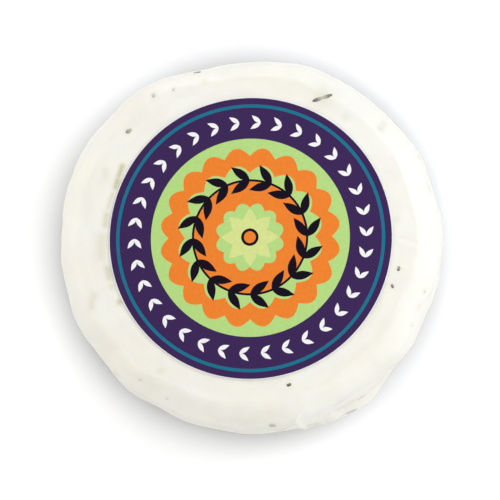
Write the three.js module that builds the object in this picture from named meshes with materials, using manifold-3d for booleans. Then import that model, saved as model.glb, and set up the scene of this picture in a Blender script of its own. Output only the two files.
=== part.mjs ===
// A flat round of fresh goat cheese with herbs, sealed in tight clear film, with a round paper label on top.
// Millimetres, +Z up. The origin is the middle of the base, and +Y is the label's upright.

import * as THREE from "three";
import { mergeVertices } from "three/addons/utils/BufferGeometryUtils.js";
import Module from "manifold-3d";

// Round of cheese
const HEIGHT = 25.4;
const MEAN_RADIUS = 38;
const BASE_ROUND = 3.5;
const BASE_ROUND_HEIGHT = 3.8;
const WALL_INSET_LOW = 1.6;
const WALL_INSET_HIGH = 0.7;
const WALL_BULGE = 0.2;
const SHOULDER_WIDTH = 4.6;
const SHOULDER_HEIGHT = 5.4;
const CROWN = 0.6;
const ROUND_SEGMENTS = 96;
const SECTION_DIVISIONS = 6;
const BASE_FULLNESS = 0.55;
const SHOULDER_FULLNESS = 0.36;

// Outline of the round, drawn flat in places by the film: the angle of each soft corner in degrees,
// anticlockwise from +X, and its radius
const OUTLINE_CORNERS = [
  [5, 39.2], [27, 39.1], [42, 38.0], [57, 38.0], [70, 38.3], [88, 37.0], [104, 36.6],
  [115, 37.6], [127, 38.9], [149, 39.2], [166, 38.6], [187, 38.2], [205, 38.5], [229, 38.3],
  [250, 38.0], [268, 38.1], [285, 38.3], [305, 37.9], [325, 38.8], [348, 38.9],
];
const CORNER_SOFTNESS = 4;
const CORNER_SAMPLES = 5;
const OUTLINE_SHIFT_X = -0.36;
const OUTLINE_SHIFT_Y = 0.6;

// Soft unevenness of the top
const SWELL_DEPTH = 0.22;
const SWELL_REACH_X = 11;
const SWELL_REACH_Y = 13;
const SWELL_PHASE_X = 0.6;
const SWELL_PHASE_Y = 0.4;
const RIPPLE_DEPTH = 0.08;
const RIPPLE_REACH = 7;

// Fold of film that stands out from the wall as a low lip
const FOLD_ANGLES = [-33, -41, -49.5, -58, -67, -75];
const FOLD_HEIGHTS = [5.2, 6.9, 8.0, 8.2, 7.2, 5.4];
const FOLD_OUT = [-0.9, -0.1, 0.3, 0.3, -0.1, -0.9];
const FOLD_WIDTH = 2.0;
const FOLD_THICKNESS = 1.0;
const FOLD_STEPS = 12;
const FOLD_SIDES = 3;

// Flakes of herb on the top and shoulder: x, y, length and turn in degrees
const TOP_FLAKES = [
  [15.0, 28.4, 4.0, 18],
  [-23.8, 22.4, 1.8, 30],
  [-18.8, 29.5, 1.3, 110],
  [-14.5, 30.5, 1.2, 75],
  [-10.1, 34.6, 1.4, 10],
  [29.8, -5.8, 1.4, 60],
  [28.7, -9.2, 1.4, 110],
  [34.8, -9.8, 1.3, 60],
  [8.4, -28.6, 1.5, 20],
  [4.5, -36.1, 1.3, 0],
  [-21.1, -27.2, 1.3, 150],
  [-15.8, -30.9, 1.3, 95],
  [26.2, 22.2, 1.3, 35],
];
const FLAKE_WIDTH_SHARE = 0.38;
const FLAKE_HALF_DEPTH = 0.36;
const FLAKE_SUNK = 0.1;
const FLAKE_SIDES = 6;
const FLAKE_RINGS = 4;

// Flakes of herb round the wall, spread by the golden ratio
const WALL_FLAKES = 30;
const WALL_FLAKE_LOW = 3.6;
const WALL_FLAKE_HIGH = 21;
const WALL_FLAKE_SHORT = 1.2;
const WALL_FLAKE_LONG = 2.4;
const GOLDEN_RATIO = 0.6180339887;
const SILVER_RATIO = 0.4142135624;
const FLAKE_TURN_STEP = 77;

// Label
const LABEL_RADIUS = 27.9;
const LABEL_THICKNESS = 0.25;
const LABEL_GAP = 0.1;
const LABEL_X = 0.8;
const LABEL_Y = 0.5;
const LABEL_RINGS = 5;
const LABEL_SEGMENTS = 72;

const SECTION_SAMPLES = 800;
const WELD_DISTANCE = 1e-4;
const PLATEAU_RADIUS = MEAN_RADIUS - SHOULDER_WIDTH - WALL_INSET_HIGH;

const wasm = await Module();
wasm.setup();

/** Turns a three.js geometry into a closed solid. */
function solidOf(geometry) {
  const bare = geometry.clone();
  bare.deleteAttribute("normal");
  bare.deleteAttribute("uv");
  const merged = mergeVertices(bare, WELD_DISTANCE);
  const mesh = new wasm.Mesh({
    numProp: 3,
    vertProperties: new Float32Array(merged.attributes.position.array),
    triVerts: new Uint32Array(merged.index.array),
  });
  return new wasm.Manifold(mesh);
}

/** Turns a closed solid back into a three.js geometry. */
function geometryOf(solid) {
  const mesh = solid.getMesh();
  const geometry = new THREE.BufferGeometry();
  geometry.setAttribute("position", new THREE.BufferAttribute(mesh.vertProperties, 3));
  geometry.setIndex(new THREE.BufferAttribute(mesh.triVerts, 1));
  geometry.computeVertexNormals();
  return geometry;
}

/** The half section of the round: base, lower edge, bulged wall, shoulder and gently crowned top. */
function halfSection() {
  const lowX = MEAN_RADIUS - WALL_INSET_LOW;
  const highX = MEAN_RADIUS - WALL_INSET_HIGH;
  const highY = HEIGHT - CROWN - SHOULDER_HEIGHT;
  const flatX = lowX - BASE_ROUND;
  const topY = HEIGHT - CROWN;
  const outX = MEAN_RADIUS + WALL_BULGE;
  const third = (highY - BASE_ROUND_HEIGHT) / 3;
  const lowHandle = BASE_ROUND_HEIGHT * BASE_FULLNESS;
  const lowLean = (outX - lowX) / third;
  const highHandle = SHOULDER_HEIGHT * SHOULDER_FULLNESS;
  const highLean = (outX - highX) / third;
  const section = new THREE.Path();
  section.moveTo(0, 0);
  section.lineTo(flatX, 0);
  section.bezierCurveTo(
    flatX + BASE_ROUND * BASE_FULLNESS, 0,
    lowX - lowLean * lowHandle, BASE_ROUND_HEIGHT - lowHandle,
    lowX, BASE_ROUND_HEIGHT,
  );
  section.bezierCurveTo(
    outX, BASE_ROUND_HEIGHT + third,
    outX, highY - third,
    highX, highY,
  );
  section.bezierCurveTo(
    highX - highLean * highHandle, highY + highHandle,
    PLATEAU_RADIUS + SHOULDER_WIDTH * SHOULDER_FULLNESS, topY,
    PLATEAU_RADIUS, topY,
  );
  section.quadraticCurveTo(PLATEAU_RADIUS / 2, HEIGHT, 0, HEIGHT);
  return section;
}

const section = halfSection();
const sectionPoints = section.getSpacedPoints(SECTION_SAMPLES);

/** Radius of the straight-sided outline at an angle in degrees. */
function sideRadius(degrees) {
  const turn = THREE.MathUtils.euclideanModulo(degrees, 360);
  const next = OUTLINE_CORNERS.findIndex(([corner]) => corner > turn);
  const [endAngle, endRadius] = OUTLINE_CORNERS.at(Math.max(next, 0));
  const [startAngle, startRadius] = OUTLINE_CORNERS.at(next < 1 ? -1 : next - 1);
  const gone = THREE.MathUtils.degToRad(THREE.MathUtils.euclideanModulo(turn - startAngle, 360));
  const left = THREE.MathUtils.degToRad(THREE.MathUtils.euclideanModulo(endAngle - turn, 360));
  const lean = startRadius * Math.sin(gone) + endRadius * Math.sin(left);
  return (startRadius * endRadius * Math.sin(gone + left)) / lean;
}

/** How far the outline stands out at an angle, with its corners softened, as a share of the mean radius. */
function outlineShare(angle) {
  const degrees = THREE.MathUtils.radToDeg(angle);
  let total = 0;
  for (let i = 0; i < CORNER_SAMPLES; i += 1) {
    const aside = (2 * i) / (CORNER_SAMPLES - 1) - 1;
    total += sideRadius(degrees + CORNER_SOFTNESS * aside);
  }
  return total / (CORNER_SAMPLES * MEAN_RADIUS);
}

/** Height that the soft unevenness adds at a place on the top. */
function unevenness(x, y) {
  const across = Math.sin(x / SWELL_REACH_X + SWELL_PHASE_X);
  const along = Math.cos(y / SWELL_REACH_Y - SWELL_PHASE_Y);
  const ripple = Math.sin((x + y) / RIPPLE_REACH);
  return SWELL_DEPTH * across * along + RIPPLE_DEPTH * ripple;
}

/** Moves a point of the even round, given by angle, radius and height, to its place on the uneven one. */
function uneven(angle, radius, height) {
  const reach = radius * outlineShare(angle);
  const x = reach * Math.cos(angle);
  const y = reach * Math.sin(angle);
  const share = (height / HEIGHT) ** 2;
  return new THREE.Vector3(
    x + OUTLINE_SHIFT_X,
    y + OUTLINE_SHIFT_Y,
    height + share * unevenness(x, y),
  );
}

/** Height of the top of the cheese at a place given in the part's frame. */
function topHeight(x, y) {
  const localX = x - OUTLINE_SHIFT_X;
  const localY = y - OUTLINE_SHIFT_Y;
  const radius = Math.hypot(localX, localY) / outlineShare(Math.atan2(localY, localX));
  const height = HEIGHT - CROWN * (radius / PLATEAU_RADIUS) ** 2;
  return height + (height / HEIGHT) ** 2 * unevenness(localX, localY);
}

/** The round itself, before the fold and the herbs. */
function roundGeometry() {
  const geometry = new THREE.LatheGeometry(section.getPoints(SECTION_DIVISIONS), ROUND_SEGMENTS);
  geometry.rotateX(Math.PI / 2);
  const position = geometry.attributes.position;
  for (let i = 0; i < position.count; i += 1) {
    const angle = Math.atan2(position.getY(i), position.getX(i));
    const radius = Math.hypot(position.getX(i), position.getY(i));
    const place = uneven(angle, radius, position.getZ(i));
    position.setXYZ(i, place.x, place.y, place.z);
  }
  return geometry;
}

/** The place on the section where a test first holds, going up from the base. */
function sectionPlace(test) {
  const index = sectionPoints.findIndex(test);
  const before = sectionPoints[index - 1];
  const after = sectionPoints[index];
  const run = after.clone().sub(before).normalize();
  return { point: after, normal: new THREE.Vector2(run.y, -run.x) };
}

/** A low flake of herb set into the surface at a place of the section. */
function flakeSolid(place, angle, length, turnDegrees) {
  const out = new THREE.Vector3(
    place.normal.x * Math.cos(angle),
    place.normal.x * Math.sin(angle),
    place.normal.y,
  );
  const level = new THREE.Vector3(-Math.sin(angle), Math.cos(angle), 0);
  const up = new THREE.Vector3().crossVectors(out, level);
  const frame = new THREE.Matrix4().makeBasis(level, up, out);
  const centre = uneven(angle, place.point.x, place.point.y).addScaledVector(out, -FLAKE_SUNK);
  const geometry = new THREE.SphereGeometry(1, FLAKE_SIDES, FLAKE_RINGS);
  geometry.scale(length / 2, FLAKE_HALF_DEPTH, (length * FLAKE_WIDTH_SHARE) / 2);
  geometry.rotateX(Math.PI / 2);
  geometry.rotateZ(THREE.MathUtils.degToRad(turnDegrees));
  geometry.applyMatrix4(frame);
  geometry.translate(centre.x, centre.y, centre.z);
  return solidOf(geometry);
}

/** Flakes that lie on the top and shoulder. */
function topFlakes() {
  return TOP_FLAKES.map(([x, y, length, turn]) => {
    const localX = x - OUTLINE_SHIFT_X;
    const localY = y - OUTLINE_SHIFT_Y;
    const angle = Math.atan2(localY, localX);
    const radius = Math.hypot(localX, localY) / outlineShare(angle);
    const place = sectionPlace((point) => point.y > HEIGHT / 2 && point.x <= radius);
    const levelTurn = turn - THREE.MathUtils.radToDeg(angle) - 90;
    return flakeSolid(place, angle, length, levelTurn);
  });
}

/** Flakes that lie round the wall. */
function wallFlakes() {
  const flakes = [];
  for (let i = 0; i < WALL_FLAKES; i += 1) {
    const angle = ((i * GOLDEN_RATIO) % 1) * 2 * Math.PI;
    const rise = (i + 0.5) / WALL_FLAKES;
    const height = THREE.MathUtils.lerp(WALL_FLAKE_LOW, WALL_FLAKE_HIGH, rise);
    const length = THREE.MathUtils.lerp(WALL_FLAKE_SHORT, WALL_FLAKE_LONG, (i * SILVER_RATIO) % 1);
    const place = sectionPlace((point) => point.y >= height);
    flakes.push(flakeSolid(place, angle, length, i * FLAKE_TURN_STEP));
  }
  return flakes;
}

/** The fold of film, a low lip whose ends run into the wall. */
function foldSolid() {
  const path = new THREE.CatmullRomCurve3(
    FOLD_ANGLES.map((degrees, i) => {
      const angle = THREE.MathUtils.degToRad(degrees);
      const { point } = sectionPlace((sample) => sample.y >= FOLD_HEIGHTS[i]);
      return uneven(angle, point.x + FOLD_OUT[i], FOLD_HEIGHTS[i]);
    }),
  );
  const oval = new THREE.Shape();
  oval.absellipse(0, 0, FOLD_WIDTH / 2, FOLD_THICKNESS / 2, 0, 2 * Math.PI);
  const geometry = new THREE.ExtrudeGeometry(oval, {
    steps: FOLD_STEPS,
    curveSegments: FOLD_SIDES,
    extrudePath: path,
    bevelEnabled: false,
  });
  return solidOf(geometry);
}

/** The label, a thin disc that follows the top of the cheese just above it. */
function labelGeometry() {
  const profile = [];
  for (let ring = 0; ring <= LABEL_RINGS; ring += 1) {
    profile.push(new THREE.Vector2((LABEL_RADIUS * ring) / LABEL_RINGS, 0));
  }
  for (let ring = LABEL_RINGS; ring >= 0; ring -= 1) {
    profile.push(new THREE.Vector2((LABEL_RADIUS * ring) / LABEL_RINGS, LABEL_THICKNESS));
  }
  const geometry = new THREE.LatheGeometry(profile, LABEL_SEGMENTS);
  geometry.rotateX(Math.PI / 2);
  geometry.translate(LABEL_X, LABEL_Y, LABEL_GAP);
  const position = geometry.attributes.position;
  for (let i = 0; i < position.count; i += 1) {
    const lift = topHeight(position.getX(i), position.getY(i));
    position.setZ(i, position.getZ(i) + lift);
  }
  return geometry;
}

const cheeseSolid = [foldSolid(), ...topFlakes(), ...wallFlakes()].reduce(
  (whole, piece) => whole.add(piece),
  solidOf(roundGeometry()),
);

const cheese = new THREE.Mesh(
  geometryOf(cheeseSolid),
  new THREE.MeshStandardMaterial({ color: 0xf6f3ea, roughness: 0.4, metalness: 0 }),
);
cheese.name = "wrapped_cheese";

const label = new THREE.Mesh(
  geometryOf(solidOf(labelGeometry())),
  new THREE.MeshStandardMaterial({ color: 0x412958, roughness: 0.5, metalness: 0 }),
);
label.name = "label";

const part = new THREE.Group();
part.name = "herbed_goat_cheese_round";
part.add(cheese, label);

export default part;
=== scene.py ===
"""A flat round of fresh goat cheese with herbs, sealed in tight clear film, with a round paper label on top.

Sizes in the classes are in millimetres. Every mesh is made in metres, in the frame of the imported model.
"""

import logging
import math
from dataclasses import dataclass, field
from enum import Enum

import bpy
import numpy as np
from mathutils import Matrix, Vector, noise
from mathutils.bvhtree import BVHTree
from mathutils.geometry import delaunay_2d_cdt


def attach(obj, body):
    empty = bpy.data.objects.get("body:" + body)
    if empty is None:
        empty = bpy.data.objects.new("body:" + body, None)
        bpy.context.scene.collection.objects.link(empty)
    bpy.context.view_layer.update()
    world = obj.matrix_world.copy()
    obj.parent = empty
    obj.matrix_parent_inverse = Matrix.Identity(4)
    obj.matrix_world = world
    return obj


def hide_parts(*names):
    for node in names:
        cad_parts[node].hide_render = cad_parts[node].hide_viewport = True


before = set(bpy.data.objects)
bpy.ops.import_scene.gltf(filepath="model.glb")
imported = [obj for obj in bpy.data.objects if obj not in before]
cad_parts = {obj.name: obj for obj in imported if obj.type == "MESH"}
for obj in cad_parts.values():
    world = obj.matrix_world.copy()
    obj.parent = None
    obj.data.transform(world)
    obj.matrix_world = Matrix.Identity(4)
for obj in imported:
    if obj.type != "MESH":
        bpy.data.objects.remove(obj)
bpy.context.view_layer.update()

LOG = logging.getLogger("goat_cheese_round")
MM = 0.001
GOLDEN_RATIO = 0.6180339887
SILVER_RATIO = 0.4142135624
RAY_HEIGHT = 40.0
RAY_REACH = 60.0

Colour = tuple[float, float, float]
Point = tuple[float, float]
Place = tuple[float, float, float]
# Places along a mark, a smudge and a line of painted shade alike, its reach to both sides and its strength
StainAndShadeRow = tuple[tuple[Point, ...], float, float]

WHITE: Colour = (1.0, 1.0, 1.0)
DOWN: Place = (0.0, 0.0, -1.0)


def smooth_step(low: float, high: float, value: np.ndarray) -> np.ndarray:
    """Rises smoothly from 0 to 1 between two values.

    Args:
        low: Where the rise starts.
        high: Where the rise ends.
        value: The values to look up.

    Returns:
        The share risen, from 0 to 1, for each value.
    """
    share = np.clip((value - low) / (high - low), 0.0, 1.0)
    return share * share * (3.0 - 2.0 * share)


def between(ends: Point, share: float) -> float:
    """Value at a share of the way from one end of a range to the other."""
    return ends[0] + (ends[1] - ends[0]) * share


def cloud_at(spots: np.ndarray) -> np.ndarray:
    """Values of a soft cloud, from about -1 to 1, at rows of x, y and z."""
    return np.array([noise.noise(Vector(spot)) for spot in spots.tolist()])


def turn_between(angle: np.ndarray, centre: float) -> np.ndarray:
    """Signed angle in degrees from a centre to each angle, the short way round.

    Args:
        angle: Angles in degrees.
        centre: The angle to measure from, in degrees.

    Returns:
        Differences from -180 to 180 degrees.
    """
    return (angle - centre + 180.0) % 360.0 - 180.0


def cubic(start: Point, near: Point, far: Point, end: Point, steps: int) -> list[Point]:
    """Points along a cubic curve, without its first point.

    Args:
        start: Where the curve starts.
        near: Its first handle.
        far: Its second handle.
        end: Where the curve ends.
        steps: Number of points.

    Returns:
        The points in order.
    """
    points = []
    for step in range(1, steps + 1):
        t = step / steps
        s = 1.0 - t
        weights = (s**3, 3 * s * s * t, 3 * s * t * t, t**3)
        knots = (start, near, far, end)
        x = sum(w * k[0] for w, k in zip(weights, knots))
        y = sum(w * k[1] for w, k in zip(weights, knots))
        points.append((x, y))
    return points


@dataclass(frozen=True)
class CheeseForm:
    """Form of the wrapped round: section, outline, soft unevenness and the lip of folded film."""

    height: float = 25.4
    mean_radius: float = 38.0
    base_round: float = 3.5
    base_round_height: float = 3.8
    wall_inset_low: float = 1.6
    wall_inset_high: float = 0.7
    wall_bulge: float = 0.2
    shoulder_width: float = 4.6
    shoulder_height: float = 5.4
    crown: float = 0.6
    base_fullness: float = 0.55
    shoulder_fullness: float = 0.36
    # Angle in degrees and radius of each soft corner of the outline
    outline_corners: tuple[Point, ...] = (
        (5.0, 39.2), (27.0, 39.1), (42.0, 38.0), (57.0, 38.0), (70.0, 38.3), (88.0, 37.0), (104.0, 36.6),
        (115.0, 37.6), (127.0, 38.9), (149.0, 39.2), (166.0, 38.6), (187.0, 38.2), (205.0, 38.5),
        (229.0, 38.3), (250.0, 38.0), (268.0, 38.1), (285.0, 38.3), (305.0, 37.9), (325.0, 38.8),
        (348.0, 38.9),
    )
    corner_softness: float = 4.0
    corner_samples: int = 5
    shift: Point = (-0.36, 0.6)
    swell_depth: float = 0.22
    swell_reach: Point = (11.0, 13.0)
    swell_phase: Point = (0.6, 0.4)
    ripple_depth: float = 0.08
    ripple_reach: float = 7.0
    lip_middle: float = -58.0
    lip_half: float = 24.0
    lip_crest: float = 8.3
    lip_drop: float = 3.0
    lip_proud: float = 2.0
    lip_full: float = 0.1
    lip_below: float = 1.8
    lip_above: float = 2.4
    crease_middle: float = -54.5
    crease_half: float = 10.0
    crease_above: float = 0.6
    crease_fade: Point = (0.6, 1.1)
    dent_depth: float = 0.25
    dent_reach: float = 8.0
    dimple_depth: float = 0.07
    dimple_reach: float = 3.2
    edge_wave: float = 0.9
    edge_wave_reach: float = 9.0
    edge_band: float = 3.0
    tuck_depth: float = 0.12
    tuck_reach: float = 2.6
    tuck_length: float = 7.0
    label_centre: Point = (0.8, 0.5)
    label_radius: float = 27.9
    fine_top_radius: float = 26.0
    base_steps: int = 2
    base_round_steps: int = 6
    wall_steps: int = 24
    shoulder_steps: int = 11
    rim_steps: int = 9
    middle_steps: int = 3

    @property
    def plateau_radius(self) -> float:
        """Radius at which the crowned top meets the shoulder."""
        return self.mean_radius - self.shoulder_width - self.wall_inset_high

    def section(self, fineness: int) -> np.ndarray:
        """Half section of the even round, from near the middle of the base to near the middle of the top.

        Args:
            fineness: How finely the stretches are cut; 1 is coarse.

        Returns:
            Rows of radius and height.
        """
        low_x = self.mean_radius - self.wall_inset_low
        high_x = self.mean_radius - self.wall_inset_high
        flat_x = low_x - self.base_round
        top_y = self.height - self.crown
        high_y = top_y - self.shoulder_height
        out_x = self.mean_radius + self.wall_bulge
        third = (high_y - self.base_round_height) / 3
        low_handle = self.base_round_height * self.base_fullness
        low_lean = (out_x - low_x) / third
        high_handle = self.shoulder_height * self.shoulder_fullness
        high_lean = (out_x - high_x) / third
        base_steps = self.base_steps * fineness
        points = [(flat_x * (step + 1) / base_steps, 0.0) for step in range(base_steps)]
        points += cubic(
            (flat_x, 0.0),
            (flat_x + self.base_round * self.base_fullness, 0.0),
            (low_x - low_lean * low_handle, self.base_round_height - low_handle),
            (low_x, self.base_round_height),
            self.base_round_steps * fineness,
        )
        points += cubic(
            (low_x, self.base_round_height),
            (out_x, self.base_round_height + third),
            (out_x, high_y - third),
            (high_x, high_y),
            self.wall_steps * fineness,
        )
        points += cubic(
            (high_x, high_y),
            (high_x - high_lean * high_handle, high_y + high_handle),
            (self.plateau_radius + self.shoulder_width * self.shoulder_fullness, top_y),
            (self.plateau_radius, top_y),
            self.shoulder_steps * fineness,
        )
        rim_steps = self.rim_steps * fineness
        rim_end = self.fine_top_radius
        for step in range(1, rim_steps + 1):
            radius = self.plateau_radius + (rim_end - self.plateau_radius) * step / rim_steps
            points.append((radius, self.crown_height(radius)))
        middle_steps = self.middle_steps * fineness
        for step in range(1, middle_steps):
            radius = rim_end * (1 - step / middle_steps)
            points.append((radius, self.crown_height(radius)))
        return np.array(points)

    def crown_height(self, radius: float) -> float:
        """Height of the even, gently crowned top at a radius."""
        return self.height - self.crown * (radius / self.plateau_radius) ** 2

    def side_radius(self, degrees: np.ndarray) -> np.ndarray:
        """Radius of the straight-sided outline at each angle.

        Args:
            degrees: Angles in degrees, anticlockwise from +X.

        Returns:
            The radii.
        """
        corner, reach = np.array(self.outline_corners).T
        turn = np.mod(degrees, 360.0)
        after = np.searchsorted(corner, turn, side="right") % len(corner)
        gone = np.radians(np.mod(turn - corner[after - 1], 360.0))
        left = np.radians(np.mod(corner[after] - turn, 360.0))
        lean = reach[after - 1] * np.sin(gone) + reach[after] * np.sin(left)
        return reach[after - 1] * reach[after] * np.sin(gone + left) / lean

    def outline_share(self, angle: np.ndarray) -> np.ndarray:
        """Share of the mean radius that the outline has at each angle, with its corners softened.

        Args:
            angle: Angles in radians, anticlockwise from +X.

        Returns:
            The shares, close to 1.
        """
        degrees = np.degrees(angle)
        asides = np.linspace(-self.corner_softness, self.corner_softness, self.corner_samples)
        total = sum(self.side_radius(degrees + aside) for aside in asides)
        return total / (self.corner_samples * self.mean_radius)

    def unevenness(self, x: np.ndarray, y: np.ndarray) -> np.ndarray:
        """Height that the soft swell and ripple add at places on the top.

        Args:
            x: Places across, from the middle of the outline.
            y: Places along, from the middle of the outline.

        Returns:
            The added heights.
        """
        across = np.sin(x / self.swell_reach[0] + self.swell_phase[0])
        along = np.cos(y / self.swell_reach[1] - self.swell_phase[1])
        ripple = np.sin((x + y) / self.ripple_reach)
        return self.swell_depth * across * along + self.ripple_depth * ripple

    def top_height(self, x: np.ndarray, y: np.ndarray) -> np.ndarray:
        """Height of the top at places given in the part's frame.

        Args:
            x: Places across.
            y: Places along.

        Returns:
            The heights above the base.
        """
        local_x = x - self.shift[0]
        local_y = y - self.shift[1]
        radius = np.hypot(local_x, local_y) / self.outline_share(np.arctan2(local_y, local_x))
        even = self.crown_height(radius)
        return even + (even / self.height) ** 2 * self.unevenness(local_x, local_y)

    def lip(self, degrees: np.ndarray, height: np.ndarray) -> np.ndarray:
        """How far the lip of folded film stands out of the wall.

        Args:
            degrees: Angles round the outline.
            height: Heights on the wall.

        Returns:
            The stand-out at each place.
        """
        along = turn_between(degrees, self.lip_middle) / self.lip_half
        crest = self.lip_crest - self.lip_drop * along**2
        taper = 1.0 - smooth_step(self.lip_full, 1.0, np.abs(along))
        from_crease = np.abs(turn_between(degrees, self.crease_middle)) / self.crease_half
        firm = 1.0 - smooth_step(*self.crease_fade, from_crease)
        above = self.lip_above + (self.crease_above - self.lip_above) * firm
        spread = np.where(height < crest, self.lip_below, above)
        return self.lip_proud * taper * np.exp(-(((height - crest) / spread) ** 2))

    def edge_shift(self, angle: np.ndarray, radius: np.ndarray) -> np.ndarray:
        """How far the edge between top and shoulder wanders outwards.

        Args:
            angle: Angles in radians.
            radius: Radii on the even section, broadcast against the angles.

        Returns:
            The shift at each place.
        """
        reach = self.plateau_radius / self.edge_wave_reach
        spots = np.stack([reach * np.cos(angle), reach * np.sin(angle), np.zeros_like(angle)], axis=1)
        band = np.exp(-(((radius - self.plateau_radius) / self.edge_band) ** 2))
        return self.edge_wave * cloud_at(spots)[None, :] * band


@dataclass(frozen=True)
class Crease:
    """A narrow valley in the film across the top, from one place to another."""

    start: Point
    end: Point
    depth: float
    width: float
    fade_in: Point = (-0.1, 0.2)
    fade_out: Point = (0.8, 1.1)

    def relief(self, x: np.ndarray, y: np.ndarray) -> np.ndarray:
        """Depth of the valley at each place, as a negative rise.

        Args:
            x: Places across.
            y: Places along.

        Returns:
            The rise at each place.
        """
        run_x = self.end[0] - self.start[0]
        run_y = self.end[1] - self.start[1]
        length = math.hypot(run_x, run_y)
        along = ((x - self.start[0]) * run_x + (y - self.start[1]) * run_y) / length**2
        aside = ((x - self.start[0]) * run_y - (y - self.start[1]) * run_x) / length
        window = smooth_step(*self.fade_in, along) * (1.0 - smooth_step(*self.fade_out, along))
        return -self.depth * window * np.exp(-((aside / self.width) ** 2))


@dataclass(frozen=True)
class Pleat:
    """A fine raised ridge in the film that runs up the wall."""

    degrees: float
    low: float
    high: float
    rise: float
    width: float
    slant: float
    fade: float = 0.35

    def relief(self, degrees: np.ndarray, height: np.ndarray, radius: float) -> np.ndarray:
        """Rise of the ridge at each place.

        Args:
            degrees: Angles round the outline.
            height: Heights on the wall.
            radius: Radius at which angles are turned into lengths.

        Returns:
            The rise at each place.
        """
        middle = (self.low + self.high) / 2
        centre = self.degrees + self.slant * (height - middle)
        aside = np.radians(turn_between(degrees, centre)) * radius
        share = (height - self.low) / (self.high - self.low)
        window = smooth_step(0.0, self.fade, share) * smooth_step(0.0, self.fade, 1.0 - share)
        return self.rise * window * np.exp(-((aside / self.width) ** 2))


@dataclass(frozen=True)
class StainAndShade:
    """A soft mark along a line on the cheese; it serves for faint smudges and also for lines of painted
    shade on the creases and the lip of the film.
    """

    line: tuple[Place, ...]
    reach: float
    strength: float

    def share(self, points: np.ndarray) -> np.ndarray:
        """How strongly the mark shows at each point.

        Args:
            points: Rows of x, y and z.

        Returns:
            Shares from 0 to the mark's strength.
        """
        spots = np.array(self.line)
        away = np.linalg.norm(points - spots[0], axis=1)
        for start, end in zip(spots[:-1], spots[1:]):
            run = end - start
            along = np.clip((points - start) @ run / (run @ run), 0.0, 1.0)
            near = start + along[:, None] * run
            away = np.minimum(away, np.linalg.norm(points - near, axis=1))
        return self.strength * np.exp(-((away / self.reach) ** 2))


class NodeBoard:
    """Places and joins the nodes of one shader tree."""

    def __init__(self, tree: bpy.types.NodeTree) -> None:
        """Keeps the tree that the nodes go into."""
        self.tree = tree

    def add(self, kind: str, **settings: object) -> bpy.types.Node:
        """Adds one node.

        Args:
            kind: Blender's name for the kind of node.
            **settings: Properties of the node and their values.

        Returns:
            The new node.
        """
        node = self.tree.nodes.new(kind)
        for name, value in settings.items():
            setattr(node, name, value)
        return node

    def join(self, source: bpy.types.NodeSocket, target: bpy.types.NodeSocket) -> None:
        """Joins an output to an input."""
        self.tree.links.new(source, target)

    def cover(
        self,
        under: bpy.types.NodeSocket,
        colour: Colour,
        share: bpy.types.NodeSocket,
    ) -> bpy.types.NodeSocket:
        """Lays a colour over another by a share.

        Args:
            under: Output of the colour below.
            colour: The colour that covers it.
            share: Output of the share, from 0 to 1.

        Returns:
            Output of the blended colour.
        """
        node = self.add("ShaderNodeMix", data_type="RGBA")
        node.inputs["B"].default_value = (*colour, 1.0)
        self.join(under, node.inputs["A"])
        self.join(share, node.inputs["Factor"])
        return node.outputs["Result"]

    def bump(self, height: bpy.types.NodeSocket, strength: float, depth: float) -> bpy.types.NodeSocket:
        """Turns a height into a normal.

        Args:
            height: Output of the height.
            strength: How strongly it shows.
            depth: How deep it is, in metres.

        Returns:
            Output of the normal.
        """
        node = self.add("ShaderNodeBump")
        node.inputs["Strength"].default_value = strength
        node.inputs["Distance"].default_value = depth
        self.join(height, node.inputs["Height"])
        return node.outputs["Normal"]

    def solid(self, roughness: float) -> bpy.types.Node:
        """Adds the shader of a solid surface and joins it to the material's output.

        Args:
            roughness: Its roughness.

        Returns:
            The shader.
        """
        shader = self.add("ShaderNodeBsdfPrincipled")
        shader.inputs["Roughness"].default_value = roughness
        out = self.add("ShaderNodeOutputMaterial")
        self.join(shader.outputs["BSDF"], out.inputs["Surface"])
        return shader


class Socket(Enum):
    """Kinds of value that go in and out of a shader node group."""

    COLOUR = "NodeSocketColor"
    NUMBER = "NodeSocketFloat"
    VECTOR = "NodeSocketVector"


class ShaderGroup:
    """A shader node group that materials share; each kind says its sockets and fills itself."""

    name: str
    inlets: dict[str, Socket]
    outlets: dict[str, Socket]

    @classmethod
    def tree(cls) -> bpy.types.NodeTree:
        """Makes the group on first use and hands it out after that.

        Returns:
            The shader node group.
        """
        if cls.name in bpy.data.node_groups:
            return bpy.data.node_groups[cls.name]
        tree = bpy.data.node_groups.new(cls.name, "ShaderNodeTree")
        for title, kind in cls.inlets.items():
            tree.interface.new_socket(title, in_out="INPUT", socket_type=kind.value)
        for title, kind in cls.outlets.items():
            tree.interface.new_socket(title, in_out="OUTPUT", socket_type=kind.value)
        board = NodeBoard(tree)
        cls.fill(board, board.add("NodeGroupInput"), board.add("NodeGroupOutput"))
        return tree

    @classmethod
    def fill(cls, board: NodeBoard, inlet: bpy.types.Node, outlet: bpy.types.Node) -> None:
        """Adds the group's own nodes between its inlet and its outlet.

        Args:
            board: The group's nodes.
            inlet: The node that its inputs come from.
            outlet: The node that its outputs go to.
        """
        raise NotImplementedError

    @classmethod
    def place(cls, board: NodeBoard, values: dict[str, object]) -> bpy.types.Node:
        """Puts the group into a material with its own values.

        Args:
            board: The material's nodes.
            values: Value of each input that nothing is joined to.

        Returns:
            The group's node.
        """
        node = board.add("ShaderNodeGroup", node_tree=cls.tree())
        for title, value in values.items():
            colour = cls.inlets[title] is Socket.COLOUR
            node.inputs[title].default_value = (*value, 1.0) if colour else value
        return node


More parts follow.
